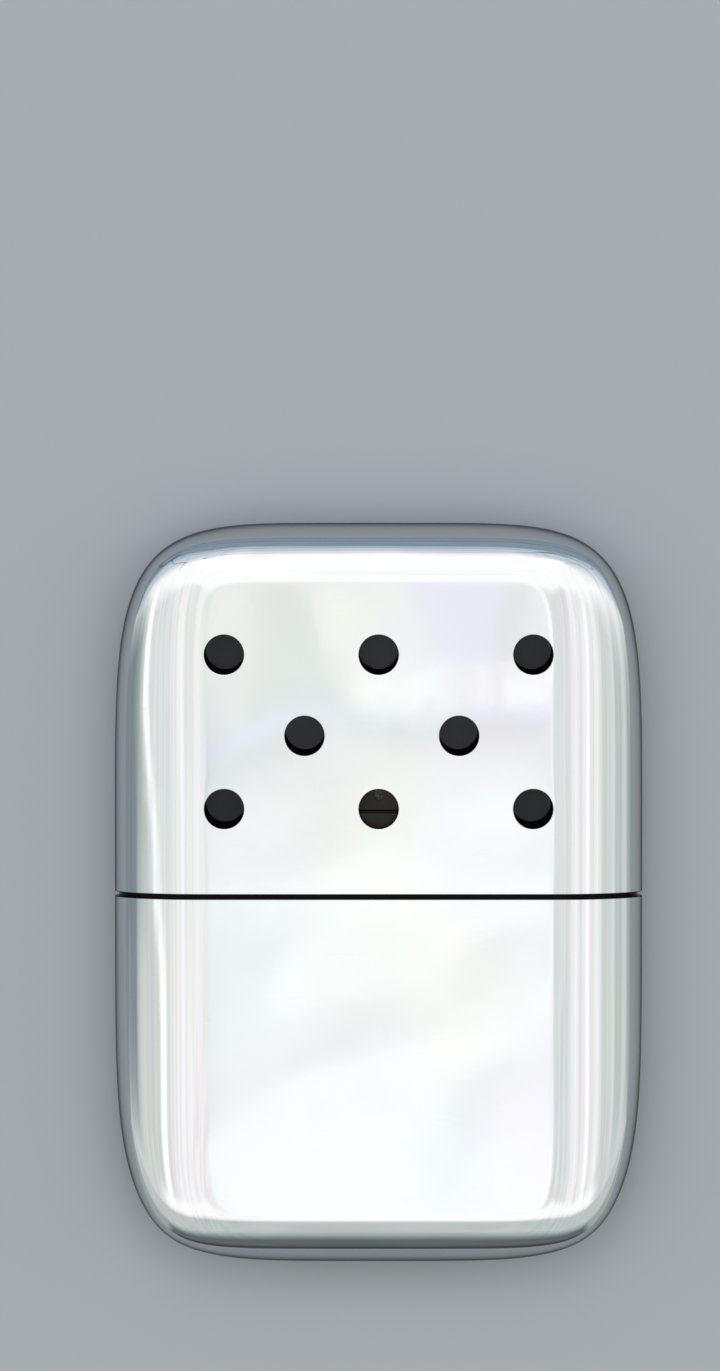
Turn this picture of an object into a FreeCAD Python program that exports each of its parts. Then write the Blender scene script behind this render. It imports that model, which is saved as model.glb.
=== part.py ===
"""A catalytic hand warmer lying on its back: a plated, pebble-shaped case in two halves.

The lid pulls off the collar of the fuel tank, and the burner lifts off the filler neck inside.
X runs across the case, +Y points to the lid's end and +Z out of the front face. The back face
rests at z = 0, and the seam between lid and tank crosses the origin.
"""
import FreeCAD, Part
import math
import os

Vector = FreeCAD.Vector

# Case, in millimetres.
case_width = 68.0
case_length = 95.5
case_thickness = 13.0
case_wall = 0.5
side_rounding = 11.7
lid_end_rounding = 7.2
tank_end_rounding = 6.5
lid_power = 5.4
tank_power = 5.0
face_power = 15.0
seam_gap = 0.3
rim_bevel = 0.2
section_count = 13
corner_steps = 16
corner_crowding = 1.6

# Vents, punched through the front and the back of the lid.
vent_diameter = 5.1
vent_pitch = 19.8
top_row = 31.1
middle_row = 20.7
bottom_row = 11.3
middle_row_shift = 0.4

# Collar, deck and filler neck of the tank.
lid_fit = 0.12
braze_gap = 0.03
collar_wall = 0.4
collar_rise = 8.0
collar_depth = 8.0
dimple_height = 0.09
dimple_radius = 8.0
dimple_pitch = 36.0
deck_level = 5.0
deck_thickness = 0.5
neck_width = 34.0
neck_depth = 8.0
neck_wall = 0.4
neck_rim = 10.5
neck_foot = 2.6
flange_reach = 1.2
flange_thickness = 0.4

# Cotton in the tank, and the wick pad in the neck.
cotton_gap = 0.3
fold_gap = 0.4
cotton_plies = 3
wick_level = 5.5
wick_gap = 0.1

# Burner, from the skirt that grips the neck to the lip over the grille.
burner_wall = 0.4
burner_fit = 0.05
seat_gap = 0.05
skirt_length = 4.5
bead_thickness = 0.5
bead_reach = 0.8
plate_fit = 0.05
support_thickness = 0.4
mat_thickness = 4.0
mat_gap = 0.1
grille_thickness = 0.4
lip_thickness = 0.4
lip_reach = 1.2
support_hole = 2.6
support_pitch = 3.6
support_holes = 8
grille_slot_length = 3.0
grille_slot_width = 1.3
grille_columns = 7
grille_rows = 2
grille_pitch = 4.0
grille_row_pitch = 2.4
air_slot_width = 1.3
air_slot_height = 2.8
air_slot_pitch = 4.0
air_slots = 7
slit_width = 0.5
slit_height = 3.4
slit_pitch = 7.0

# Heights that follow from the sizes above, along the case.
mid_height = case_thickness / 2
neck_slide = case_wall + lid_fit
collar_inside = neck_slide + collar_wall
burner_width = neck_width + 2 * (burner_fit + burner_wall)
burner_depth = neck_depth + 2 * (burner_fit + burner_wall)
chamber_width = burner_width - 2 * burner_wall
chamber_depth = burner_depth - 2 * burner_wall
skirt_foot = neck_rim - skirt_length
bead_level = neck_rim + seat_gap
support_level = bead_level + bead_thickness + plate_fit
mat_level = support_level + support_thickness + mat_gap
grille_level = mat_level + mat_thickness + mat_gap
lip_level = grille_level + grille_thickness + plate_fit
burner_top = lip_level + lip_thickness


def spline(points):
    """A smooth edge through points."""
    curve = Part.BSplineCurve()
    curve.interpolate(points)
    return curve.toShape()


def edge_turns():
    """Even turns round the case's rounded edge, from the back face to the front."""
    return [math.pi * (index / (section_count - 1) - 0.5) for index in range(section_count)]


def outline_turns():
    """Directions through half a turn, crowded towards its two corners."""
    quarter = []
    for step in range(corner_steps):
        way = 2 * step / corner_steps - 1
        quarter.append(math.pi / 4 * (1 + math.copysign(abs(way) ** corner_crowding, way)))
    return quarter + [math.pi / 2 + turn for turn in quarter] + [math.pi]


def half_outline(across, along, power, side, level):
    """One end's half of a superellipse, from flank to flank round the end."""
    points = []
    for turn in outline_turns():
        cosine = math.cos(turn)
        sine = abs(math.sin(turn))
        reach = (abs(cosine) ** power + sine ** power) ** (-1.0 / power)
        points.append(Vector(side * across * reach * cosine, side * along * reach * sine, level))
    return spline(points)


def pebble(inset):
    """The case's form made smaller all round: superellipses stacked along an elliptical edge. Their
    power grows as they shrink, so the corners turn squarer from the rim to the flat faces."""
    sections = []
    for turn in edge_turns():
        bulge = math.cos(turn)
        lid_corner = lid_power * bulge + face_power * (1 - bulge)
        tank_corner = tank_power * bulge + face_power * (1 - bulge)
        across = case_width / 2 - side_rounding + (side_rounding - inset) * bulge
        lid_end = case_length / 2 - lid_end_rounding + (lid_end_rounding - inset) * bulge
        tank_end = case_length / 2 - tank_end_rounding + (tank_end_rounding - inset) * bulge
        level = mid_height + (case_thickness / 2 - inset) * math.sin(turn)
        lid_half = half_outline(across, lid_end, lid_corner, 1, level)
        tank_half = half_outline(across, tank_end, tank_corner, -1, level)
        sections.append(Part.Wire([lid_half, tank_half]))
    return Part.makeLoft(sections, True, False)


def slab(low, high):
    """A block wider than the case, between two heights along it."""
    corner = Vector(-case_width, low, -case_thickness)
    return Part.makeBox(2 * case_width, high - low, 3 * case_thickness, corner)


def oblong(width, depth, low, high, x=0.0, z=0.0):
    """A prism along the case with a round-ended section, set off the case's mid-plane by x and z."""
    radius = depth / 2
    reach = width / 2 - radius
    centre = Vector(x, low, mid_height + z)
    ends = [Vector(-reach, 0, radius), Vector(reach, 0, radius)]
    ends += [Vector(reach, 0, -radius), Vector(-reach, 0, -radius)]
    top_left, top_right, low_right, low_left = [centre + end for end in ends]
    right = centre + Vector(reach + radius, 0, 0)
    left = centre - Vector(reach + radius, 0, 0)
    edges = [Part.makeLine(top_left, top_right), Part.Arc(top_right, right, low_right).toShape()]
    edges += [Part.makeLine(low_right, low_left), Part.Arc(low_left, left, top_left).toShape()]
    return Part.Face(Part.Wire(edges)).extrude(Vector(0, high - low, 0))


def spread(count, pitch):
    """The places of a centred row."""
    return [(index - (count - 1) / 2) * pitch for index in range(count)]


def flank_section(inset, y):
    """The case's section across the seam, two flats and two half ellipses, at one place along it."""
    flat = case_width / 2 - side_rounding
    right = []
    for turn in edge_turns():
        across = flat + (side_rounding - inset) * math.cos(turn)
        right.append(Vector(across, y, mid_height + (case_thickness / 2 - inset) * math.sin(turn)))
    left = [Vector(-point.x, y, point.z) for point in reversed(right)]
    edges = [spline(right), Part.makeLine(right[-1], left[0])]
    edges += [spline(left), Part.makeLine(left[-1], right[0])]
    return Part.Wire(edges)


def half_case(side):
    """The solid lid half (side 1) or tank half (side -1), bevelled where it meets the seam."""
    seam = side * seam_gap / 2
    far = seam + side * 2 * rim_bevel
    half = pebble(0.0).common(slab(*sorted((seam, side * case_length))))
    plug = Part.makeLoft([flank_section(rim_bevel, seam), flank_section(-rim_bevel, far)], True, True)
    return half.cut(slab(*sorted((seam, far))).cut(plug))


def vents():
    """Eight round vents in rows of three, two and three, as pins through the whole case."""
    places = [(x, top_row) for x in spread(3, vent_pitch)]
    places += [(x + middle_row_shift, middle_row) for x in spread(2, vent_pitch)]
    places += [(x, bottom_row) for x in spread(3, vent_pitch)]
    pins = []
    for x, y in places:
        foot = Vector(x, y, -case_thickness)
        pins.append(Part.makeCylinder(vent_diameter / 2, 3 * case_thickness, foot, Vector(0, 0, 1)))
    return pins


def make_lid_shell():
    """The drawn upper half of the case, open at the seam."""
    return half_case(1).cut(pebble(case_wall)).cut(vents())


def make_tank_shell():
    """The drawn lower half of the case, which holds the fuel."""
    return half_case(-1).cut(pebble(case_wall))


def grip_dimples():
    """Low round bumps on the collar that the lid rubs past."""
    bumps = []
    collar_top = case_thickness - neck_slide
    for x in spread(2, dimple_pitch):
        for face in (1, -1):
            rise = collar_top + dimple_height - dimple_radius - mid_height
            centre = Vector(x, collar_rise / 2, mid_height + face * rise)
            ball = Part.makeSphere(dimple_radius, centre)
            middle = collar_top - collar_wall / 2 - mid_height
            low = mid_height + middle if face > 0 else mid_height - middle - dimple_radius
            corner = Vector(x - dimple_radius, -dimple_radius, low)
            cap = Part.makeBox(2 * dimple_radius, 3 * dimple_radius, dimple_radius, corner)
            bumps.append(ball.common(cap))
    return bumps


def make_tank_collar():
    """The sleeve brazed into the tank, stepped in above the seam so that the lid slips over it."""
    lower = pebble(case_wall + braze_gap).common(slab(-collar_depth, 0.0))
    upper = pebble(neck_slide).common(slab(0.0, collar_rise))
    sleeve = lower.fuse(upper).cut(pebble(collar_inside))
    return sleeve.fuse(grip_dimples())


def make_tank_deck():
    """The plate that closes the tank inside the collar, with an oblong hole for the neck."""
    plate = pebble(collar_inside + braze_gap).common(slab(deck_level - deck_thickness, deck_level))
    width = neck_width + 2 * braze_gap
    depth = neck_depth + 2 * braze_gap
    return plate.cut(oblong(width, depth, deck_level - 2 * deck_thickness, neck_rim))


def make_filler_neck():
    """The oblong filler tube, with a flange brazed under the deck."""
    flange_top = deck_level - deck_thickness - braze_gap
    width = neck_width + 2 * flange_reach
    depth = neck_depth + 2 * flange_reach
    flange = oblong(width, depth, flange_top - flange_thickness, flange_top)
    tube = oblong(neck_width, neck_depth, neck_foot, neck_rim).fuse(flange)
    bore = oblong(neck_width - 2 * neck_wall, neck_depth - 2 * neck_wall, 0.0, 2 * neck_rim)
    return tube.cut(bore)


def make_wick_pad():
    """The felt pad in the foot of the neck."""
    width = neck_width - 2 * (neck_wall + wick_gap)
    depth = neck_depth - 2 * (neck_wall + wick_gap)
    return oblong(width, depth, neck_foot, wick_level)


def make_cotton_wadding():
    """The cotton that soaks up the fuel: one long pad folded to and fro along the tank."""
    inset = collar_inside + cotton_gap
    top = neck_foot - wick_gap
    wad = pebble(inset).common(slab(-case_length, top))
    foot = -case_length / 2 + inset
    ply = (case_thickness - 2 * inset) / cotton_plies
    for fold in range(1, cotton_plies):
        low = -case_length if fold % 2 else foot + ply
        high = top - ply if fold % 2 else 2 * case_length
        level = inset + ply * fold - fold_gap / 2
        corner = Vector(-case_width, low, level)
        wad = wad.cut(Part.makeBox(2 * case_width, high - low, fold_gap, corner))
    return wad


def make_burner_housing():
    """The burner's sheet-metal wall: a gripping skirt, a bead that stops it, and a turned-in lip."""
    wall = oblong(burner_width, burner_depth, skirt_foot, burner_top)
    skirt = oblong(chamber_width, chamber_depth, 0.0, bead_level)
    bead_width = chamber_width - 2 * bead_reach
    bead = oblong(bead_width, chamber_depth - 2 * bead_reach, 0.0, support_level)
    chamber = oblong(chamber_width, chamber_depth, bead_level + bead_thickness, lip_level)
    lip = oblong(chamber_width - 2 * lip_reach, chamber_depth - 2 * lip_reach, mat_level, 2 * burner_top)
    return wall.cut([skirt, bead, chamber, lip] + air_openings() + spring_slits())


def air_openings():
    """Upright slots in the front and back of the burner, beside the mat."""
    centre = mat_level + mat_thickness / 2
    slots = []
    for x in spread(air_slots, air_slot_pitch):
        reach = (air_slot_height - air_slot_width) / 2
        corner = Vector(x - air_slot_width / 2, centre - reach, -case_thickness)
        slot = Part.makeBox(air_slot_width, 2 * reach, 3 * case_thickness, corner)
        for side in (-1, 1):
            foot = Vector(x, centre + side * reach, -case_thickness)
            end = Part.makeCylinder(air_slot_width / 2, 3 * case_thickness, foot, Vector(0, 0, 1))
            slot = slot.fuse(end)
        slots.append(slot)
    return slots


def spring_slits():
    """Pairs of slits in the skirt that leave a springy tongue on each face."""
    slits = []
    for x in spread(2, slit_pitch):
        corner = Vector(x - slit_width / 2, skirt_foot - slit_width, -case_thickness)
        height = slit_height + slit_width
        slits.append(Part.makeBox(slit_width, height, 3 * case_thickness, corner))
    return slits


def make_burner_support():
    """The perforated plate that carries the mat on the bead."""
    width = chamber_width - 2 * plate_fit
    depth = chamber_depth - 2 * plate_fit
    plate = oblong(width, depth, support_level, support_level + support_thickness)
    holes = []
    for x in spread(support_holes, support_pitch):
        foot = Vector(x, support_level - support_thickness, mid_height)
        holes.append(Part.makeCylinder(support_hole / 2, 3 * support_thickness, foot, Vector(0, 1, 0)))
    return plate.cut(holes)


def make_catalyst_mat():
    """The pad of coated glass fibre in which the fuel vapour burns without a flame."""
    width = chamber_width - 2 * mat_gap
    return oblong(width, chamber_depth - 2 * mat_gap, mat_level, mat_level + mat_thickness)


def make_burner_grille():
    """The slotted plate that holds the mat down under the lip."""
    width = chamber_width - 2 * plate_fit
    depth = chamber_depth - 2 * plate_fit
    plate = oblong(width, depth, grille_level, grille_level + grille_thickness)
    slots = []
    for x in spread(grille_columns, grille_pitch):
        for z in spread(grille_rows, grille_row_pitch):
            slots.append(oblong(grille_slot_length, grille_slot_width, mat_level, burner_top, x, z))
    return plate.cut(slots)


makers = {
    "lid_shell": make_lid_shell,
    "tank_shell": make_tank_shell,
    "tank_collar": make_tank_collar,
    "tank_deck": make_tank_deck,
    "filler_neck": make_filler_neck,
    "wick_pad": make_wick_pad,
    "cotton_wadding": make_cotton_wadding,
    "burner_housing": make_burner_housing,
    "burner_support": make_burner_support,
    "catalyst_mat": make_catalyst_mat,
    "burner_grille": make_burner_grille,
}

os.makedirs("parts", exist_ok=True)
for name, make in makers.items():
    piece = make()
    piece.exportStep("parts/" + name + ".step")
    print(name, len(piece.Solids), "solid", round(piece.Volume, 2), "mm3, valid:", piece.isValid())
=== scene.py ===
"""The looks of a catalytic hand warmer: a plated case in two halves, the collar, neck and burner
inside it, its felt, cotton and glass fibre, and a pale studio floor. All lengths are in metres.

The case lies on its back. X runs across it, +Y to the lid's end, +Z out of the front face, and the
seam between lid and tank crosses the origin.
"""
import math
from itertools import pairwise
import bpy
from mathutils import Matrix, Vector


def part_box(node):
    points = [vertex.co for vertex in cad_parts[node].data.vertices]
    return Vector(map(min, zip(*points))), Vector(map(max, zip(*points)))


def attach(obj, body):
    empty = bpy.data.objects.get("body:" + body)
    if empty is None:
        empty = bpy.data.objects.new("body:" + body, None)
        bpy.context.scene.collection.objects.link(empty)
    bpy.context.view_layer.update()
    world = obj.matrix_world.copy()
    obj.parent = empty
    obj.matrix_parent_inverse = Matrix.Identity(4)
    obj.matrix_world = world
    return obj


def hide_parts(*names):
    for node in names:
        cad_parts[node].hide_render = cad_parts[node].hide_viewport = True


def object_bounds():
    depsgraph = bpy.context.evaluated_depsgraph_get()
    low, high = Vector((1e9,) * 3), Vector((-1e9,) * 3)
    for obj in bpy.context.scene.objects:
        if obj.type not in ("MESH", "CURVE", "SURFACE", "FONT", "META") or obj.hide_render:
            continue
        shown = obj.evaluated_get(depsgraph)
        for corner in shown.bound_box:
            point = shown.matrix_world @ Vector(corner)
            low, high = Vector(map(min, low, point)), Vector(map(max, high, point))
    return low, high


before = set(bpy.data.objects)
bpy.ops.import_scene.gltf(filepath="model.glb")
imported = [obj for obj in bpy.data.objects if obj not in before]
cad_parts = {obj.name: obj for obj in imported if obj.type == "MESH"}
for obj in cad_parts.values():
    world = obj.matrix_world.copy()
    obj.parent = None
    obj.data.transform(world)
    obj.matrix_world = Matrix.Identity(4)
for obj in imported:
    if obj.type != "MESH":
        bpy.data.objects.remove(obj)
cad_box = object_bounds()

from types import SimpleNamespace

import bmesh
import bpy
import numpy as np
from bpy.props import FloatProperty, FloatVectorProperty, IntProperty, PointerProperty

bl_info = {
    "name": "Catalytic Hand Warmer",
    "version": (1, 0, 0),
    "blender": (4, 5, 0),
    "location": "View3D > Sidebar > Warmer",
    "description": "Builds the case, the burner and the studio of a catalytic hand warmer",
    "category": "Add Mesh",
}

MM = 0.001
case_low, case_high = cad_box
mid_height = (case_low[2] + case_high[2]) / 2
collar_low, collar_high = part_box("tank_collar")
neck_low, neck_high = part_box("filler_neck")
deck_low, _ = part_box("tank_deck")
cotton_low, cotton_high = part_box("cotton_wadding")
burner_low, burner_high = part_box("burner_housing")
grille_low, grille_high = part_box("burner_grille")


def setting(kind, scale=None, **more):
    """A maker of one kind of value that the user can change, with defaults in a unit of its own."""
    def made(name, description, default):
        value = default if scale is None else default * scale
        return kind(name=name, description=description, default=value, **more)
    return made


length = setting(FloatProperty, MM, unit="LENGTH", precision=5)
angle = setting(FloatProperty, math.radians(1.0), subtype="ANGLE")
factor = setting(FloatProperty, min=0.0)
count = setting(IntProperty, min=1)
place = setting(FloatVectorProperty, subtype="XYZ", unit="LENGTH")
colour = setting(FloatVectorProperty, subtype="COLOR", min=0.0, max=1.0)


class WarmerCase(bpy.types.PropertyGroup):
    """Sizes and colours of the plated case."""

    side_rounding: length("Side rounding", "Reach of the rounding from the sides", 11.7)
    lid_rounding: length("Lid rounding", "Reach of the rounding from the lid's end", 7.2)
    tank_rounding: length("Tank rounding", "Reach of the rounding from the tank's end", 6.5)
    lid_power: factor("Lid power", "Power of the lid's superellipse at the rim", 5.4)
    tank_power: factor("Tank power", "Power of the tank's superellipse at the rim", 5.0)
    face_power: factor("Face power", "Power of the superellipse at the face", 15.0)
    wall: length("Wall", "Thickness of the drawn sheet", 0.5)
    seam: length("Seam", "Open gap between lid and tank", 0.56)
    edge: length("Edge", "Rounding of the sheet's cut edges", 0.11)
    crown: factor("Crown", "Doming of the faces, as a share of the thickness", 0.012)
    vent_radius: length("Vent radius", "Radius of a vent", 2.55)
    vent_pitch: length("Vent pitch", "Distance between vents in a row", 19.8)
    top_row: length("Top row", "Distance of the top vents from the seam", 31.1)
    middle_row: length("Middle row", "Distance of the middle vents from the seam", 20.7)
    bottom_row: length("Bottom row", "Distance of the bottom vents from the seam", 11.3)
    middle_shift: length("Middle shift", "Shift of the middle row across the case", 0.4)
    grid: length("Grid", "Spacing of the case's surface grid", 0.6)
    collar_gap: length("Collar gap", "Room between the collar and the lid", 0.12)
    collar_wall: length("Collar wall", "Thickness of the collar's sheet", 0.4)
    dimple: length("Dimple", "Height of the collar's grip dimples", 0.09)
    plating: colour("Plating", "Colour of the polished plating", (0.62, 0.63, 0.64))
    # Painted shade: a near-black inside for both halves, so that the vents read dark.
    soot: colour("Soot", "Colour of the lid's sooted inside", (0.006, 0.0055, 0.005))


class WarmerBurner(bpy.types.PropertyGroup):
    """Sizes and colours of the burner, the neck and the soft fillings."""

    wall: length("Wall", "Thickness of the burner's sheet", 0.4)
    bend: length("Lip bend", "Outer radius of the turned-in lip's bend", 0.7)
    lip: length("Lip reach", "Reach of the lip from the wall's outside", 1.6)
    bead_depth: length("Bead depth", "Depth of the pressed bead", 0.2)
    bead_level: length("Bead level", "Place of the pressed bead along the case", 10.8)
    bead_reach: length("Bead reach", "Half the width of the pressed bead", 0.16)
    slots: count("Slots", "Air slots on each face", 7)
    slot_pitch: length("Slot pitch", "Distance between air slots", 4.0)
    slot_radius: length("Slot radius", "Half the width of an air slot", 0.65)
    slot_spine: length("Slot spine", "Half the straight length of an air slot", 0.75)
    slot_level: length("Slot level", "Place of the air slots along the case", 13.6)
    slit_place: length("Slit place", "Distance of a slit from the middle", 3.5)
    slit_width: length("Slit width", "Width of a slit in the skirt", 0.5)
    slit_height: length("Slit height", "Height of a slit in the skirt", 3.4)
    grille_columns: count("Grille columns", "Slots across the grille", 7)
    grille_rows: count("Grille rows", "Slots through the grille's depth", 2)
    steel: colour("Steel", "Colour of the cool end of the sheet", (0.46, 0.44, 0.41))
    straw: colour("Straw tint", "Colour where the heat begins to show", (0.36, 0.25, 0.12))
    violet: colour("Violet tint", "Colour next to the hot end", (0.12, 0.07, 0.13))
    # Near-black heat tint that is also painted shade, where the burner shows through the lowest vent.
    scorch: colour("Scorch", "Colour of the hot end of the sheet", (0.022, 0.020, 0.019))
    fibre: colour("Fibre", "Colour of the coated glass fibre", (0.17, 0.16, 0.15))
    felt: colour("Felt", "Colour of the wick", (0.72, 0.68, 0.58))
    cotton: colour("Cotton", "Colour of the wadding", (0.80, 0.78, 0.72))


class WarmerStage(bpy.types.PropertyGroup):
    """Floor, light and camera."""

    floor: colour("Floor", "Colour of the floor", (0.34, 0.36, 0.38))
    floor_size: length("Floor size", "Width of the floor", 6000)
    sky: factor("Sky", "Strength of the light all round", 1.58)
    key: factor("Key", "Power of the key lamp in watts", 1.0)
    key_place: place("Key place", "Middle of the oval key lamp", (0.02, 0.66, 1.04))
    key_width: length("Key width", "Width of the key lamp", 860)
    key_height: length("Key height", "Height of the key lamp", 500)
    distance: length("Distance", "Camera to the middle of the case", 1000)
    lens: factor("Lens", "Focal length in millimetres", 203.5)
    lean: angle("Lean", "Angle of view off the face", 5.0)
    frame_lean: angle("Frame lean", "Angle between the view's middle and the case", 1.5315)
    frame_shift: length("Frame shift", "The camera's shift across the case", -2.39)


# Meshes ----------------------------------


def grid_quads(rows, columns, first):
    """Corner numbers of a grid's quads, for points stored row by row from number first."""
    corner = first + np.arange(rows - 1)[:, None] * columns + np.arange(columns - 1)[None, :]
    return np.stack([corner, corner + 1, corner + columns + 1, corner + columns], axis=-1).reshape(-1, 4)


def linked(name, data):
    """A new object in the scene."""
    thing = bpy.data.objects.new(name, data)
    bpy.context.scene.collection.objects.link(thing)
    return thing


def spots(*parts):
    """Points from their parts, each an array or a number."""
    return np.stack(np.broadcast_arrays(*parts), axis=-1)


def add_piece(name, patches, body, materials, replaced):
    """One welded, smooth piece from grids of points, each an array of rows, columns and x, y, z."""
    points = np.concatenate([patch.reshape(-1, 3) for patch in patches])
    firsts = np.cumsum([0] + [patch.shape[0] * patch.shape[1] for patch in patches])
    quads = [grid_quads(*patch.shape[:2], first) for patch, first in zip(patches, firsts)]
    mesh = bpy.data.meshes.new(name)
    mesh.from_pydata(points.tolist(), [], np.concatenate(quads).tolist())
    shape = bmesh.new()
    shape.from_mesh(mesh)
    bmesh.ops.remove_doubles(shape, verts=shape.verts, dist=0.002 * MM)
    bmesh.ops.recalc_face_normals(shape, faces=shape.faces)
    shape.to_mesh(mesh)
    shape.free()
    mesh.shade_smooth()
    for material in materials:
        mesh.materials.append(material)
    piece = linked(name, mesh)
    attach(piece, body)
    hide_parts(replaced)
    return piece


def modify(piece, name, kind, **settings):
    """Adds a modifier with its settings."""
    modifier = piece.modifiers.new(name, kind)
    for setting, value in settings.items():
        setattr(modifier, setting, value)


def thicken(piece, wall, offset=-1.0, inside=0):
    """Gives a sheet its wall, with the material at number inside on its inner face."""
    sizes = {"thickness": wall, "offset": offset, "material_offset": inside}
    modify(piece, "wall", "SOLIDIFY", use_even_offset=True, **sizes)


def round_edges(piece, width, segments=3):
    """Rounds the sheet's cut edges and leaves the faces beside them flat."""
    sizes = {"width": width, "segments": segments, "angle_limit": math.radians(50)}
    modify(piece, "edges", "BEVEL", limit_method="ANGLE", harden_normals=True, **sizes)


def samples(cuts, pitch):
    """Places from the first cut to the last that hold every cut, at most a pitch apart."""
    parts = []
    for low, high in pairwise(cuts):
        parts.append(np.linspace(low, high, max(1, math.ceil((high - low) / pitch - 1e-6)) + 1)[:-1])
    return np.concatenate(parts + [[cuts[-1]]])


def graded(*stretches):
    """Places through neighbouring stretches, each with its own cuts and pitch."""
    parts = [samples(cuts, pitch) for cuts, pitch in stretches]
    return np.concatenate([part[:-1] for part in parts[:-1]] + [parts[-1]])


def between(places, low, high):
    """The places from low to high."""
    return places[(places > low - 1e-9) & (places < high + 1e-9)]


def midpoints(values):
    """The places half-way between neighbours."""
    return [(a + b) / 2 for a, b in pairwise(values)]


def plain_cell(across, along):
    """A rectangle of the flat pattern as a grid."""
    return spots(across, along[:, None])


def border_loop(across, along):
    """The closed way round a rectangle of the flat pattern."""
    low, right = spots(across, along[0]), spots(across[-1], along)
    high, left = spots(across, along[-1])[::-1], spots(across[0], along)[::-1]
    return np.concatenate([low[:-1], right[:-1], high[:-1], left])


def round_outline(places, centre, radius, spine):
    """The place on a round-ended outline next to each place of the flat pattern: a radius away from the
    nearest point of a spine, which reaches to both sides of the centre."""
    nearest = np.array(centre) + np.clip(places - centre, -np.array(spine), spine)
    away = places - nearest
    return nearest + radius * away / np.linalg.norm(away, axis=-1, keepdims=True)


def spokes(first, last, steps, crowding=1.0):
    """A grid of straight spokes between two loops, whose steps may crowd to the first loop."""
    weight = np.linspace(0.0, 1.0, steps + 1)[:, None, None] ** crowding
    return first + weight * (last - first)


def pierced_cell(across, along, centre, radius, spine, steps):
    """A rectangle with a round or round-ended hole, as spokes from the hole's edge to the border."""
    border = border_loop(across, along)
    return spokes(round_outline(border, centre, radius, spine), border, steps, 1.4)


def pierced_row(across, along, cuts, centres, radius, spine=(0.0, 0.0), steps=8):
    """A row of pierced cells between cuts, and plain cells from its ends to the border."""
    cells = []
    for (left, right), centre in zip(pairwise(cuts), centres):
        cells.append(pierced_cell(between(across, left, right), along, centre, radius, spine, steps))
    for left, right in ((across[0], cuts[0]), (cuts[-1], across[-1])):
        if right > left:
            cells.append(plain_cell(between(across, left, right), along))
    return cells


def ring(flat, side, half, steps_round, steps_flat):
    """Points and outward normals round a section of two straights and two half ellipses, whose points
    go as the cosine and sine of one angle."""
    turn = np.linspace(math.pi / 2, -math.pi / 2, steps_round)
    end = spots(flat + side * np.cos(turn), half * np.sin(turn))
    end_out = spots(np.cos(turn) / side, np.sin(turn) / half)
    level = np.linspace(-flat, flat, steps_flat + 1)[1:-1]
    front, front_out = spots(level, half), spots(0.0 * level, 1.0)
    points = np.concatenate([front, end, -front, -end, front[:1]])
    outward = np.concatenate([front_out, end_out, -front_out, -end_out, front_out[:1]])
    return points, outward / np.linalg.norm(outward, axis=-1, keepdims=True)


def carried(points, outward, offsets, places):
    """A profile carried round a ring: its points stand off the ring by offsets along the normal, at
    places along the case."""
    spot = points[None] + offsets[:, None, None] * outward[None]
    return spots(spot[..., 0], places[:, None], mid_height + spot[..., 1])


# Case ------------------------------------

HALVINGS = 40
BLOCK_WIDTH, BLOCK_END, BLOCK_FOOT = 25.4 * MM, 36.2 * MM, 6.6 * MM
FRAME_TURN, FRAME_STEPS, EDGE_STEPS = math.radians(50), 18, 44


def case_half(case, side):
    """Sizes of the lid's half (side 1) or the tank's half (side -1) of the case."""
    lid, tank = (case.lid_rounding, case.lid_power), (case.tank_rounding, case.tank_power)
    end_rounding, rim_power = lid if side > 0 else tank
    return SimpleNamespace(
        side=side, rim_power=rim_power, face_power=case.face_power, end_rounding=end_rounding,
        side_rounding=case.side_rounding, crown=case.crown, width=case_high[0],
        length=case_high[1] - case.seam / 2, thickness=mid_height, seam=case.seam / 2)


def section_at(half, turn):
    """Half width, half length and power of the case's section where its rounded edge has turned by an
    angle. One minus the cosine is the share of the rounding that the half axes have lost, and of the
    way from the rim's power to the face's."""
    share = 1 - np.cos(turn)
    power = half.rim_power + (half.face_power - half.rim_power) * share
    return half.width - half.side_rounding * share, half.length - half.end_rounding * share, power


def edge_place(half, p, q, turn):
    """A place on the rounded edge. The unit square's border point (p, q) divided by its power norm is
    on the unit superellipse, the section's half axes stretch it, and the height goes as the sine."""
    across, along, power = section_at(half, turn)
    norm = (np.abs(p) ** power + np.abs(q) ** power) ** (1 / power)
    return across * p / norm, along * q / norm, half.thickness * np.sin(turn)


def face_height(half, x, y):
    """Height of the face over the mid-plane: the sine of the turn whose section passes through (x, y).
    The turn is found by halving, and it is a right angle where every section holds the point."""
    low, high = np.zeros_like(x), np.full_like(x, math.pi / 2)
    for _ in range(HALVINGS):
        middle = (low + high) / 2
        across, along, power = section_at(half, middle)
        inside = np.abs(x / across) ** power + np.abs(y / along) ** power <= 1
        low, high = np.where(inside, middle, low), np.where(inside, high, middle)
    return half.thickness * np.sin(low)


def case_point(half, x, y, z):
    """The place in space of a point at x, y from the rim and z from the mid-plane. The faces fall by a
    share that grows with the square of the distance from the middle."""
    away = (x / half.width) ** 2 + ((y + half.seam) / half.length) ** 2
    return spots(x, half.side * (y + half.seam), mid_height + z * (1 - half.crown * away))


def both_faces(half, cell):
    """A cell of the flat pattern laid on the front face and on the back face."""
    x, y = cell[..., 0], cell[..., 1]
    height = face_height(half, x, y)
    return [case_point(half, x, y, height), case_point(half, x, y, -height)]


def vent_rows(case, half):
    """Distance from the rim and centres of the lid's three rows of vents."""
    pitch, shift = case.vent_pitch, case.middle_shift
    outer, inner = [-pitch, 0.0, pitch], [shift - pitch / 2, shift + pitch / 2]
    rows = [(case.bottom_row, outer), (case.middle_row, inner), (case.top_row, outer)]
    return [(place - half.seam, centres) for place, centres in rows]


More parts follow.
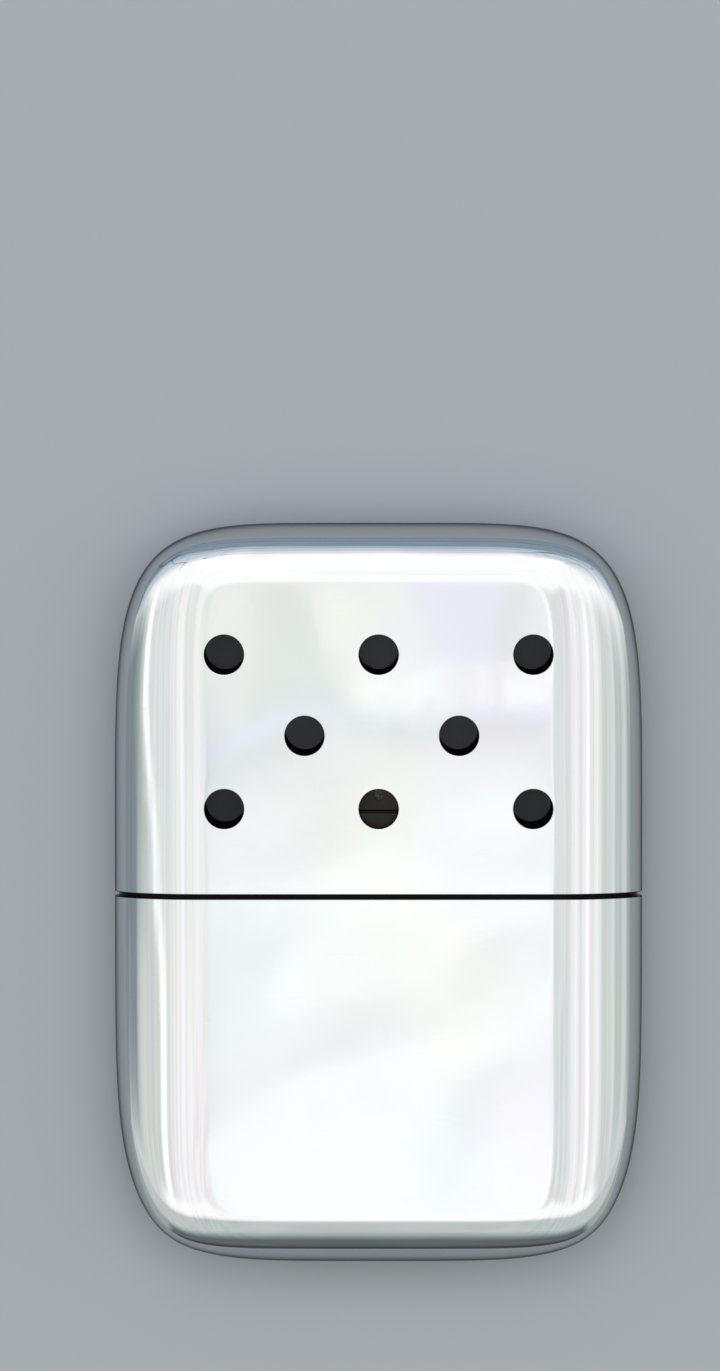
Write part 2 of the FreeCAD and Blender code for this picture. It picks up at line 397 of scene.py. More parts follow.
def case_patches(case, half, rows):
    """The half's whole skin: a block of cells on each face, a frame of straight spokes from the block
    to a turn of the edge, and the rounded edge from that turn in front round to the one behind."""
    reach, row_cuts = case.vent_pitch / 2, [BLOCK_END]
    if rows:
        row_cuts = [BLOCK_FOOT] + midpoints([place for place, _ in rows]) + row_cuts
    column_cuts = []
    for _, centres in rows:
        cuts = [centres[0] - reach] + midpoints(centres) + [centres[-1] + reach]
        column_cuts.append(np.clip(cuts, -BLOCK_WIDTH, BLOCK_WIDTH))
    xs = samples(sorted({-BLOCK_WIDTH, BLOCK_WIDTH}.union(*column_cuts)), case.grid)
    ys = samples([0.0] + row_cuts, case.grid)
    cells = [plain_cell(xs, between(ys, 0.0, row_cuts[0]))]
    for (place, centres), cuts, (low, high) in zip(rows, column_cuts, pairwise(row_cuts)):
        centres = [(centre, place) for centre in centres]
        cells += pierced_row(xs, between(ys, low, high), cuts, centres, case.vent_radius)
    up, level = ys / BLOCK_END, xs[1:-1] / BLOCK_WIDTH
    border = np.concatenate([spots(-1.0, up), spots(level, 1.0), spots(1.0, up[::-1])])
    frame_end = spots(*edge_place(half, *border.T, FRAME_TURN)[:2])
    cells.append(spokes(border * (BLOCK_WIDTH, BLOCK_END), frame_end, FRAME_STEPS))
    turns = np.linspace(FRAME_TURN, -FRAME_TURN, EDGE_STEPS + 1)[:, None]
    edge = case_point(half, *edge_place(half, *border.T, turns))
    return [patch for cell in cells for patch in both_faces(half, cell)] + [edge]


def build_case_half(name, case, half, rows, node):
    """One half of the case as drawn sheet, plated outside and painted near-black inside as shade."""
    # The inner faces get the painted shade of the inside.
    materials = [shared(polished_plating, case.plating), shared(painted_shade_inside, case.soot)]
    shell = add_piece(name, case_patches(case, half, rows), name, materials, node)
    thicken(shell, case.wall, inside=1)
    round_edges(shell, case.edge)


class BuildLid(bpy.types.Operator):
    """Build the lid: half of the case with vents through both faces, painted near-black inside as shade."""

    bl_idname = "warmer.build_lid"
    bl_label = "Lid"

    def execute(self, context):
        case = context.scene.warmer_case
        half = case_half(case, 1)
        build_case_half("lid", case, half, vent_rows(case, half), "lid_shell")
        return {"FINISHED"}


class BuildTank(bpy.types.Operator):
    """Build the tank's shell: the other half of the case, plain."""

    bl_idname = "warmer.build_tank"
    bl_label = "Tank"

    def execute(self, context):
        case = context.scene.warmer_case
        build_case_half("tank", case, case_half(case, -1), [], "tank_shell")
        return {"FINISHED"}


# Collar and neck -------------------------


class BuildCollar(bpy.types.Operator):
    """Build the sleeve that the lid slips over. Its wall steps in at the seam as a logistic curve, its
    mouth rolls in as a square, and its four grip dimples are bell curves."""

    bl_idname = "warmer.build_collar"
    bl_label = "Collar"

    def execute(self, context):
        case = context.scene.warmer_case
        inset, plating = case.wall + case.collar_gap, shared(satin_plating, case.plating)
        straight, side = case_high[0] - case.side_rounding, case.side_rounding - inset
        points, outward = ring(straight, side, mid_height - inset, steps_round=49, steps_flat=72)
        low, high, coarse, fine = collar_low[1], collar_high[1], 0.3 * MM, 0.08 * MM
        step_end, softness, clearance, roll_depth, roll_reach = MM * np.array([0.6, 0.1, 0.03, 0.6, 0.3])
        dimple_x, dimple_y, dimple_radius, roll_start = 18 * MM, 4 * MM, 0.9 * MM, high - roll_depth
        places = graded(
            ([low, -step_end], 2 * coarse), ([-step_end, step_end], fine), ([step_end, roll_start], coarse),
            ([roll_start, high], fine))
        step = (case.collar_gap - clearance) / (1 + np.exp(places / softness))
        rolled_in = roll_reach * np.clip((places - roll_start) / roll_depth, 0, 1) ** 2
        sleeve = carried(points, outward, step - rolled_in, places)
        away = np.hypot(np.abs(sleeve[..., 0]) - dimple_x, sleeve[..., 1] - dimple_y)
        raised = case.dimple * np.exp(-(away / dimple_radius) ** 2)
        sleeve[..., 2] += np.sign(sleeve[..., 2] - mid_height) * raised
        collar = add_piece("collar", [sleeve], "tank", [plating], "tank_collar")
        thicken(collar, case.collar_wall)
        round_edges(collar, 0.1 * MM)
        return {"FINISHED"}


def ruffled(points, fuzz, seed, waves=28):
    """A soft form's points drawn in towards its middle by up to the fuzz, as a sum of sines in space."""
    random = np.random.default_rng(seed)
    centre = (points.min(axis=(0, 1)) + points.max(axis=(0, 1))) / 2
    total = np.zeros(points.shape[:2])
    for _ in range(waves):
        wave = random.normal(size=3)
        wave *= random.uniform(0.7, 3.2) / MM / np.linalg.norm(wave)
        total += np.sin(points @ wave + random.uniform(0, 2 * math.pi))
    shrink = fuzz * (0.5 + np.clip(total / math.sqrt(8 * waves), -0.5, 0.5))
    away = points - centre
    reach = np.maximum(np.linalg.norm(away, axis=-1), 0.5 * MM)
    return centre + away * (1 - shrink / reach)[..., None]


def pad(node, edge, fuzz, seed, room=0.05 * MM):
    """A pad with round ends in its section: its sections grow from nothing along one end, go round a
    quarter circle at the rim, run on, and shrink again at the other end. It is ruffled all over."""
    low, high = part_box(node)
    half = (high[2] - low[2]) / 2 - room
    points, _ = ring((high[0] - low[0]) / 2 - room - half, half, half, steps_round=31, steps_flat=56)
    share = edge / half
    turn = np.linspace(-math.pi / 2, 0, 7)
    end_face = np.linspace(0, 1 - share, 12)[:-1]
    grow = np.concatenate([end_face, 1 - share + share * np.cos(turn)])
    rise = low[1] + np.concatenate([0 * end_face, edge * (1 + np.sin(turn))])
    places = np.linspace(low[1] + edge, high[1] - edge, 9)[1:-1]
    size = np.concatenate([grow, np.ones_like(places), grow[::-1]])
    along = np.concatenate([rise, places, low[1] + high[1] - rise[::-1]])
    x, z = points.T[:, None] * size[:, None]
    return ruffled(spots(x, along[:, None], mid_height + z), fuzz, seed)


def folded_wadding(case):
    """The cotton: a thick pad folded to and fro along the tank in three plies. Its middle line is three
    straights and two half circles, its thickness is square-rounded about that line, and its width at
    each place is the width that the tank's rounded inside leaves there."""
    inset, plies, gap, end_room, side_room = cotton_low[2], 3, 0.5 * MM, 0.6 * MM, 0.4 * MM
    half = case_half(case, -1)
    depth = (cotton_high[2] - cotton_low[2]) / plies
    thick = (depth - gap) / 2
    low, high = cotton_low[1] + thick + end_room, cotton_high[1] - thick - end_room
    turns = np.linspace(0, math.pi, 13)[1:-1]
    run = np.linspace(low + depth / 2, high - depth / 2, 42)
    levels = [cotton_low[2] + depth * (ply + 0.5) for ply in range(plies)]
    bends = [(high - depth / 2, 1), (low + depth / 2, -1)]
    y, z = [run], [np.full_like(run, levels[0])]
    for (end, side), level, back in zip(bends, levels[:-1], (run[::-1], run)):
        y += [end + side * depth / 2 * np.sin(turns), back]
        z += [level + depth / 2 * (1 - np.cos(turns)), np.full_like(run, level + depth)]
    y, z = np.concatenate(y), np.concatenate(z)
    tangent = spots(np.gradient(y), np.gradient(z))
    tangent /= np.linalg.norm(tangent, axis=-1, keepdims=True)
    size = np.clip(np.minimum(np.arange(len(y)), np.arange(len(y))[::-1]) / 3.0, 0, 1) ** 0.5
    way_round = np.linspace(0, 2 * math.pi, 57)
    cosine, sine = np.cos(way_round), np.sin(way_round)
    square_x, square_off = np.sign(cosine) * np.abs(cosine) ** 0.5, np.sign(sine) * np.abs(sine) ** 0.5
    off = thick * size[:, None] * square_off
    place_y = y[:, None] - tangent[:, 1:] * off
    place_z = z[:, None] + tangent[:, :1] * off
    share = np.sqrt(1 - np.clip((place_z - mid_height) / (mid_height - inset), -1, 1) ** 2)
    across = half.width - half.side_rounding + (half.side_rounding - inset) * share
    along = half.length - half.end_rounding + (half.end_rounding - inset) * share
    end = np.clip(np.abs(np.minimum(place_y, 0)) / along, 0, 1)
    width = (across - side_room) * (1 - end ** half.rim_power) ** (1 / half.rim_power)
    place_x = width * size[:, None] * square_x
    return ruffled(spots(place_x, place_y, place_z), fuzz=0.3 * MM, seed=5)


class BuildNeck(bpy.types.Operator):
    """Build the filler neck, its felt wick, the cotton in the tank, and the deck's finish."""

    bl_idname = "warmer.build_neck"
    bl_label = "Neck and filling"

    def execute(self, context):
        case, burner = context.scene.warmer_case, context.scene.warmer_burner
        plating = shared(satin_plating, case.plating)
        give_finish("tank_deck", plating)
        half_straight, radius, wall, flange, gap = 13.0 * MM, 4.0 * MM, 0.4 * MM, 1.2 * MM, 0.03 * MM
        points, outward = ring(half_straight, radius, radius, steps_round=33, steps_flat=36)
        foot, lip_level, rim = neck_low[1], neck_high[1] - wall / 2, wall / 2
        flange_top, flange_foot = deck_low[1] - gap, deck_low[1] - gap - wall
        turn = np.linspace(0, math.pi, 9)
        collar = [(0.0, flange_foot), (flange, flange_foot), (flange, flange_top), (0.0, flange_top)]
        lip = list(zip(rim * np.cos(turn) - rim, lip_level + rim * np.sin(turn)))
        profile = np.array([(0.0, foot)] + collar + lip + [(-wall, foot), (0.0, foot)])
        tube = carried(points, outward, profile[:, 0], profile[:, 1])
        neck = add_piece("neck", [tube], "tank", [plating], "filler_neck")
        round_edges(neck, 0.06 * MM, segments=2)
        wick, felt = pad("wick_pad", edge=0.8 * MM, fuzz=0.2 * MM, seed=3), fibrous("felt", burner.felt)
        wick = add_piece("wick", [wick], "tank", [felt], "wick_pad")
        cotton, loose = folded_wadding(case), fibrous("loose_cotton", burner.cotton)
        cotton = add_piece("cotton", [cotton], "tank", [loose], "cotton_wadding")
        return {"FINISHED"}


# Burner ----------------------------------


def burner_wall(burner, reach, radius, round_way, up_way):
    """Places on the burner's wall from the way round its section and the way up its profile. Up to the
    bend the wall is upright, with a bead pressed in as a bell curve. Past it the profile follows a
    quarter circle and then runs in level. The section is a straight and a half circle, twice."""
    straight = burner_high[1] - burner.bend
    turn = np.clip((up_way - straight) / burner.bend, 0, math.pi / 2)
    in_lip = np.clip(up_way - straight - burner.bend * math.pi / 2, 0, None)
    bead = burner.bead_depth * np.exp(-((up_way - burner.bead_level) / burner.bead_reach) ** 2)
    out = radius - burner.bend * (1 - np.cos(turn)) - in_lip - bead
    rise = np.minimum(up_way, straight) + burner.bend * np.sin(turn)
    half_circle = math.pi * radius
    way = np.mod(round_way, 4 * reach + 2 * half_circle)
    second = 2 * reach + half_circle
    turned = np.clip((way - 2 * reach) / radius, 0, math.pi)
    turned = turned + np.clip((way - second - 2 * reach) / radius, 0, math.pi)
    x = -reach + np.clip(way, 0, 2 * reach) - np.clip(way - second, 0, 2 * reach) + out * np.sin(turned)
    return spots(x, rise, mid_height + out * np.cos(turned))


def burner_patches(burner):
    """The burner's wall laid out flat: on each straight a skirt with slits and a row of air slots, and
    plain sheet round the ends and over the lip."""
    radius = (burner_high[2] - burner_low[2]) / 2
    reach = (burner_high[0] - burner_low[0]) / 2 - radius
    foot, bend_start = burner_low[1], burner_high[1] - burner.bend
    slit_top = foot + burner.slit_height
    half_cell, coarse = burner.slot_pitch / 2, 0.3 * MM
    slot_low, slot_high = burner.slot_level - half_cell, burner.slot_level + half_cell
    top = bend_start + burner.bend * (math.pi / 2 - 1) + burner.lip
    bead_end = 3 * burner.bead_reach
    bead_low, bead_high = burner.bead_level - bead_end, burner.bead_level + bead_end
    ups = graded(
        ([foot, slit_top, bead_low], coarse), ([bead_low, bead_high], 0.06 * MM),
        ([bead_high, slot_low, slot_high, bend_start], coarse), ([bend_start, top], 0.1 * MM))
    half_row = min(burner.slots * half_cell, reach - 0.01 * MM)
    slots = [(index - (burner.slots - 1) / 2) * burner.slot_pitch for index in range(burner.slots)]
    slot_cuts = [-half_row] + midpoints(slots) + [half_row]
    near, far = burner.slit_place - burner.slit_width / 2, burner.slit_place + burner.slit_width / 2
    xs = samples(sorted([-reach, -far, -near, near, far, reach] + slot_cuts), 0.45 * MM)
    cells = [plain_cell(xs, between(ups, slit_top, slot_low)), plain_cell(xs, between(ups, slot_high, top))]
    for left, right in ((-reach, -far), (-near, near), (far, reach)):
        cells.append(plain_cell(between(xs, left, right), between(ups, foot, slit_top)))
    centres, spine = [(x, burner.slot_level) for x in slots], (0.0, burner.slot_spine)
    along = between(ups, slot_low, slot_high)
    cells += pierced_row(xs, along, slot_cuts, centres, burner.slot_radius, spine, 5)
    half_circle = math.pi * radius
    patches = []
    for start in (0.0, 2 * reach + half_circle):
        for cell in cells:
            patches.append(burner_wall(burner, reach, radius, start + reach + cell[..., 0], cell[..., 1]))
        around = start + 2 * reach + np.linspace(0, half_circle, 33)
        patches.append(burner_wall(burner, reach, radius, around, ups[:, None]))
    return patches


def grille_patches(burner):
    """The grille: a block of cells with round-ended slots, and spokes from the block to the outline."""
    radius = (grille_high[2] - grille_low[2]) / 2
    reach = (grille_high[0] - grille_low[0]) / 2 - radius
    pitch_x, pitch_z, slot_radius, slot_spine, grid = 4.0 * MM, 2.4 * MM, 0.65 * MM, 0.85 * MM, 0.25 * MM
    half_x, half_z = burner.grille_columns * pitch_x / 2, burner.grille_rows * pitch_z / 2
    x_cuts = np.linspace(-half_x, half_x, burner.grille_columns + 1)
    z_cuts = np.linspace(-half_z, half_z, burner.grille_rows + 1)
    xs, zs = samples(x_cuts, grid), samples(z_cuts, grid)
    cells = []
    for low, high in pairwise(z_cuts):
        centres, up = [(x, (low + high) / 2) for x in midpoints(x_cuts)], between(zs, low, high)
        cells += pierced_row(xs, up, x_cuts, centres, slot_radius, (slot_spine, 0.0), 4)
    border = border_loop(xs, zs)
    cells.append(spokes(border, round_outline(border, (0.0, 0.0), radius, (reach, 0.0)), 5))
    middle = (grille_low[1] + grille_high[1]) / 2
    return [spots(cell[..., 0], middle, mid_height + cell[..., 1]) for cell in cells]


class BuildBurner(bpy.types.Operator):
    """Build the burner: wall, grille, support plate and catalyst mat."""

    bl_idname = "warmer.build_burner"
    bl_label = "Burner"

    def execute(self, context):
        burner = context.scene.warmer_burner
        steel = [heated_steel(burner)]
        wall = burner_patches(burner)
        wall = add_piece("burner_wall", wall, "burner", steel, "burner_housing")
        thicken(wall, burner.wall)
        round_edges(wall, 0.07 * MM, segments=2)
        grille = grille_patches(burner)
        grille = add_piece("grille", grille, "burner", steel, "burner_grille")
        thicken(grille, grille_high[1] - grille_low[1], offset=0.0)
        round_edges(grille, 0.07 * MM, segments=2)
        give_finish("burner_support", steel[0])
        mat = pad("catalyst_mat", edge=0.7 * MM, fuzz=0.35 * MM, seed=7)
        fibre = fibrous("glass_fibre", burner.fibre)
        mat = add_piece("mat", [mat], "burner", [fibre], "catalyst_mat")
        return {"FINISHED"}


def shared(finish, colours):
    """A finish that several pieces have, made for the first of them."""
    return bpy.data.materials.get(finish.__name__) or finish(colours)


def give_finish(node, material):
    """Puts a finish on a piece that keeps its own solid."""
    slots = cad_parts[node].data.materials
    slots.clear()
    slots.append(material)


# Finishes --------------------------------


def shaded(tone, share):
    """A colour times a number."""
    return [share * part for part in tone]


def sum_with(operation, turned=False):
    """A method that makes the node for a sum of an output and a value, in this order or turned."""
    def made(output, other=0.0):
        values = (other, output) if turned else (output, other)
        return output.graph.math(operation, *values)
    return made


class Output:
    """What a node gives. Sums and comparisons with it make further nodes."""

    __add__ = __radd__ = sum_with("ADD")
    __mul__ = __rmul__ = sum_with("MULTIPLY")
    __sub__, __rsub__ = sum_with("SUBTRACT"), sum_with("SUBTRACT", turned=True)
    __pow__, __abs__ = sum_with("POWER"), sum_with("ABSOLUTE")
    __gt__, __lt__ = sum_with("GREATER_THAN"), sum_with("LESS_THAN")
    at_least, at_most = sum_with("MAXIMUM"), sum_with("MINIMUM")

    def __init__(self, graph, socket):
        self.graph, self.socket = graph, socket

    def ranged(self, low, high, to_low=0.0, to_high=1.0, way="SMOOTHSTEP"):
        """The number carried from one range to another and held inside it, by an S-curve or evenly."""
        inputs = {"Value": self, "From Min": low, "From Max": high, "To Min": to_low, "To Max": to_high}
        return self.graph.add("ShaderNodeMapRange", inputs, interpolation_type=way)

    def even(self, low, high, most=1.0):
        """The number's even share of the way between two others, times a number."""
        return self.ranged(low, high, 0.0, most, "LINEAR")

    def ramp(self, stops):
        """A colour for each number, blended evenly between stops of a number and a colour each."""
        low, high = stops[0][0], stops[-1][0]
        colour = self.graph.add("ShaderNodeValToRGB", {"Fac": self.even(low, high)})
        elements = colour.socket.node.color_ramp.elements
        while len(elements) < len(stops):
            elements.new(0.5)
        for element, (number, tone) in zip(elements, stops):
            element.position, element.color = (number - low) / (high - low), (*tone, 1.0)
        return colour


class Graph:
    """A node tree with short calls for the nodes that the finishes and the sky share."""

    def __init__(self, tree, coordinate):
        self.nodes, self.links = tree.nodes, tree.links
        self.place = Output(self, self.nodes.new("ShaderNodeTexCoord").outputs[coordinate])

    def put(self, socket, value):
        """Sets an input to a number, a colour or what another node gives."""
        if isinstance(value, Output):
            self.links.new(value.socket, socket)
        elif isinstance(value, (int, float)):
            socket.default_value = value
        else:
            socket.default_value = (*value, 1.0)[:len(socket.default_value)]

    def add(self, kind, inputs, output=0, **settings):
        """What a new node gives for its inputs, which go by name or number."""
        node = self.nodes.new(kind)
        for name, value in settings.items():
            setattr(node, name, value)
        for name, value in inputs.items():
            self.put(node.inputs[name], value)
        return Output(self, node.outputs[output])

    def math(self, operation, *values):
        """One sum on numbers."""
        return self.add("ShaderNodeMath", dict(enumerate(values)), operation=operation)

    def degrees(self, operation, *values):
        """An angle in degrees from an inverse function."""
        return self.math("DEGREES", self.math(operation, *values))

    def axes(self):
        """The three parts of the direction or place."""
        node = self.nodes.new("ShaderNodeSeparateXYZ")
        self.put(node.inputs["Vector"], self.place)
        return [Output(self, part) for part in node.outputs]

    def joined(self, *parts):
        """A place from its parts."""
        return self.add("ShaderNodeCombineXYZ", dict(enumerate(parts)))

    def mapped(self, scale, turn=(0.0, 0.0, 0.0)):
        """The place, stretched and turned."""
        return self.add("ShaderNodeMapping", {"Scale": scale, "Rotation": turn, "Vector": self.place})

    def noise(self, scale, detail=2.0, vector=None, roughness=0.5, output="Fac"):
        """Cloudy noise with a number of features in each unit of length."""
        inputs = {"Scale": scale, "Detail": detail, "Roughness": roughness, "Vector": vector or self.place}
        return self.add("ShaderNodeTexNoise", inputs, output)

    def mix(self, share, first, second, way="MIX"):
        """A blend or product of two colours, or of a colour and a number."""
        inputs = {0: share, 6: first, 7: second}
        return self.add("ShaderNodeMix", inputs, 2, data_type="RGBA", blend_type=way)


class Finish(Graph):
    """A material on the piece's own coordinates."""

    def __init__(self, name, **values):
        self.material = bpy.data.materials.new(name)
        self.material.use_nodes = True
        super().__init__(self.material.node_tree, "Object")
        self.surface = self.nodes["Principled BSDF"]
        for socket, value in values.items():
            self.surface.inputs[socket.replace("_", " ")].default_value = value

    def bump(self, height, depth, under=None):
        """Relief of a depth in metres, on top of another relief."""
        inputs = {"Distance": depth, "Height": height}
        if under:
            inputs["Normal"] = under
        return self.add("ShaderNodeBump", inputs)

    def hairlines(self, scale, turn):
        """Sparse thin scratches in one direction: the crests of strongly stretched noise, in patches."""
        lines = self.noise(1.0, 1.0, self.mapped((scale, scale * 70, scale), (0.0, 0.0, turn)))
        return lines.ranged(0.68, 0.74) * self.noise(140.0, 1.0).ranged(0.5, 0.62)

    def seam_line(self, tone, grey, low, high):
        """Painted shade of the seam's gap: a colour that is a dark grey up to one distance from the seam
        and itself past another.
        """
        _, y, _ = self.axes()
        return self.mix(abs(y).ranged(low, high), (grey, grey, grey), tone)

    def done(self, base, roughness, normal):
        """Links the worked-out colour, roughness and relief to the surface."""
        for name, value in (("Base Color", base), ("Roughness", roughness), ("Normal", normal)):
            self.put(self.surface.inputs[name], value)
        return self.material


def polished_plating(base):
    """Bright plating on drawn sheet: slow waves, faint orange peel, hairlines and smudges, with painted
    shade of the seam's gap as a dark line. The edge tint darkens it where it is seen at a glancing angle."""
    finish = Finish("polished_plating", Metallic=1.0, Specular_Tint=(0.22, 0.24, 0.26, 1.0))
    scratches = finish.hairlines(60.0, 0.6).at_least(finish.hairlines(75.0, -1.1))
    smudge = finish.noise(90.0, 5.0).ranged(0.42, 0.72, 0.03, 0.07)
    waves = finish.bump(finish.noise(34.0, 1.0, roughness=0.35), 0.13 * MM)
    peel = finish.bump(finish.noise(620.0, 1.0), 0.0005 * MM, waves)
    # Painted shade: the seam's gap drawn as a dark grey line on the edges of the lid and tank.
    tone = finish.seam_line(base, 0.012, 0.30 * MM, 0.46 * MM)
    return finish.done(tone, scratches * 0.06 + smudge, peel)


def satin_plating(base):
    """Duller plating on the hidden parts: fine draw lines along the case, a tarnished mottle, and painted
    shade of the seam's gap as a dark line where the seam lies."""
    finish = Finish("satin_plating", Metallic=1.0)
    lines = finish.noise(1.0, 2.0, finish.mapped((2600.0, 60.0, 2600.0)))
    mottle = finish.noise(260.0, 5.0)
    tarnish = finish.mix(mottle.ranged(0.48, 0.80), shaded(base, 0.9), (0.60, 0.57, 0.52))
    # Painted shade: the seam's gap drawn as a dark line where the seam lies.
    tone = finish.seam_line(tarnish, 0.004, 0.5 * MM, 0.9 * MM)
    return finish.done(tone, mottle.ranged(0.35, 0.7, 0.16, 0.32), finish.bump(lines, 0.002 * MM))


def painted_shade_inside(base):
    """The unplated inside, painted near-black as shade, with a mottle."""
    finish = Finish("painted_shade_inside", Metallic=0.0, Specular_IOR_Level=0.15)
    mottle = finish.noise(300.0, 6.0)
    tone = finish.mix(mottle.ranged(0.4, 0.75), base, shaded(base, 2.0))
    return finish.done(tone, mottle.ranged(0.3, 0.7, 0.75, 0.95), finish.bump(mottle, 0.01 * MM))


def heated_steel(burner):
    """Sheet steel that heat has coloured: bright at the neck's end, then straw, violet and near-black
    towards the mat. The near-black is heat tint and painted shade, where the burner shows through the
    lid's lowest vent. It has a wandering edge, draw lines and small pits."""
    finish = Finish("heated_steel", Metallic=1.0)
    _, y, _ = finish.axes()
    clouds = finish.noise(230.0, 4.0)
    heat = y + (clouds - 0.5) * (3.0 * MM)
    # Painted shade: the near-black hot end stands in for the shade in the lid's lowest vent.
    stops = [
        (6.2 * MM, burner.steel), (7.0 * MM, burner.straw), (7.7 * MM, burner.violet),
        (8.6 * MM, burner.scorch), (16.6 * MM, shaded(burner.scorch, 0.8))]
    lines = finish.noise(1.0, 2.0, finish.mapped((300.0, 6000.0, 300.0)))
    roughness = clouds.ranged(0.35, 0.7, 0.26, 0.46)
    normal = finish.bump(finish.noise(2500.0, 3.0), 0.004 * MM, finish.bump(lines, 0.003 * MM))
    return finish.done(heat.ramp(stops), roughness, normal)


# The share of the base colour that the dark places have, the fibres' fineness and the relief's depth.
FIBRES = {
    "glass_fibre": (0.2, 900.0, 0.08 * MM), "felt": (0.7, 1100.0, 0.05 * MM),
    "loose_cotton": (0.8, 700.0, 0.1 * MM)}


def fibrous(name, base):
    """A matted fibre finish: crossed stretched noise for the fibres over a soft mottle."""
    dark, scale, depth = FIBRES[name]
    finish = Finish(name, Sheen_Weight=0.35, Sheen_Roughness=0.6)
    one = finish.noise(1.0, 3.0, finish.mapped((scale, scale * 9, scale), (0.3, 0.2, 0.5)))
    two = finish.noise(1.0, 3.0, finish.mapped((scale * 9, scale, scale), (0.1, 0.6, -0.4)))
    fibres = one.at_least(two)
    tone = finish.mix(fibres.ranged(0.45, 0.72), shaded(base, dark), base)
    return finish.done(tone, finish.noise(scale).ranged(0.3, 0.7, 0.85, 1.0), finish.bump(fibres, depth))


def floor_paint(base):
    """Smooth matt paint with a faint mottle."""
    finish = Finish("floor_paint")
    mottle = finish.noise(9.0, 3.0)
    tone = finish.mix(mottle.ranged(0.3, 0.7), shaded(base, 0.985), base)
    grain = finish.bump(finish.noise(700.0), 0.004 * MM)
    return finish.done(tone, mottle.ranged(0.3, 0.7, 0.62, 0.7), grain)


# Stage -----------------------------------


TONES = {
    "white": (1.0, 1.0, 1.0), "milk": (0.93, 0.91, 0.90), "shell": (0.85, 0.83, 0.83),
    "pearl": (0.79, 0.79, 0.78), "lilac": (0.83, 0.83, 0.92), "mist": (0.72, 0.74, 0.73),
    "sage": (0.63, 0.66, 0.63), "moss": (0.51, 0.55, 0.53), "fern": (0.35, 0.40, 0.37),
    "cloud": (0.50, 0.58, 0.66), "dusk": (0.21, 0.28, 0.34), "slate": (0.20, 0.24, 0.26),
    "ink": (0.11, 0.13, 0.13), "soot": (0.05, 0.06, 0.06),
}


def bands(text):
    """Stops of light from text that names tones, each with its angles in degrees, from the lowest to
    the highest. The light blends evenly from one to the next."""
    stops = [words.split() for words in text.split(", ")]
    return [(float(number), TONES[tone]) for tone, *numbers in stops for number in numbers]


LEFT_PANELS = bands(
    "slate -90 -72, fern -63, sage -57, white -55 -50, mist -48 -32, shell -22, milk -19, "
    "pearl -15 -11, milk -6, pearl -3 -1.8, white -1.4 0")
LEFT_FOOT = bands("ink -90, slate -85 -68, moss -63, sage -58 -36, shell -24, milk -10 -1.6, moss -1.4")
RIGHT_PANELS = bands(
    "white 0 2.7, mist 3.1 13, milk 18, pearl 21, shell 25, white 27 28, shell 30, pearl 33, "
    "milk 35, pearl 38, sage 42 50, mist 54, moss 58 66, sage 72, moss 77, fern 81 86, slate 90")
LID_PANELS = bands(
    "white -1.6, shell -1.5, milk -1.4, pearl -1.2 -0.5, milk -0.4 0.1, lilac 0.4 1.4, "
    "pearl 1.5 1.9, white 2.2")
WINDOWS = bands(
    "milk -1.6, pearl -1.2 -0.3, milk -0.1, white 0.0 0.5, milk 0.8 1.1, white 1.3, shell 1.5, "
    "white 1.6")
LID_FADE = bands("white -4.7, milk -4.4, shell -4.1, pearl -3.8, lilac -3.5")
TOP_BANDS = bands(
    "white 0 46, milk 50, mist 54, cloud 58 65, slate 66, cloud 67, dusk 71 80, ink 81, dusk 82, "
    "slate 90")
FOOT_BANDS = bands("white 0 14, shell 17, moss 20 42, fern 51, slate 58, ink 66 79, soot 84 90")


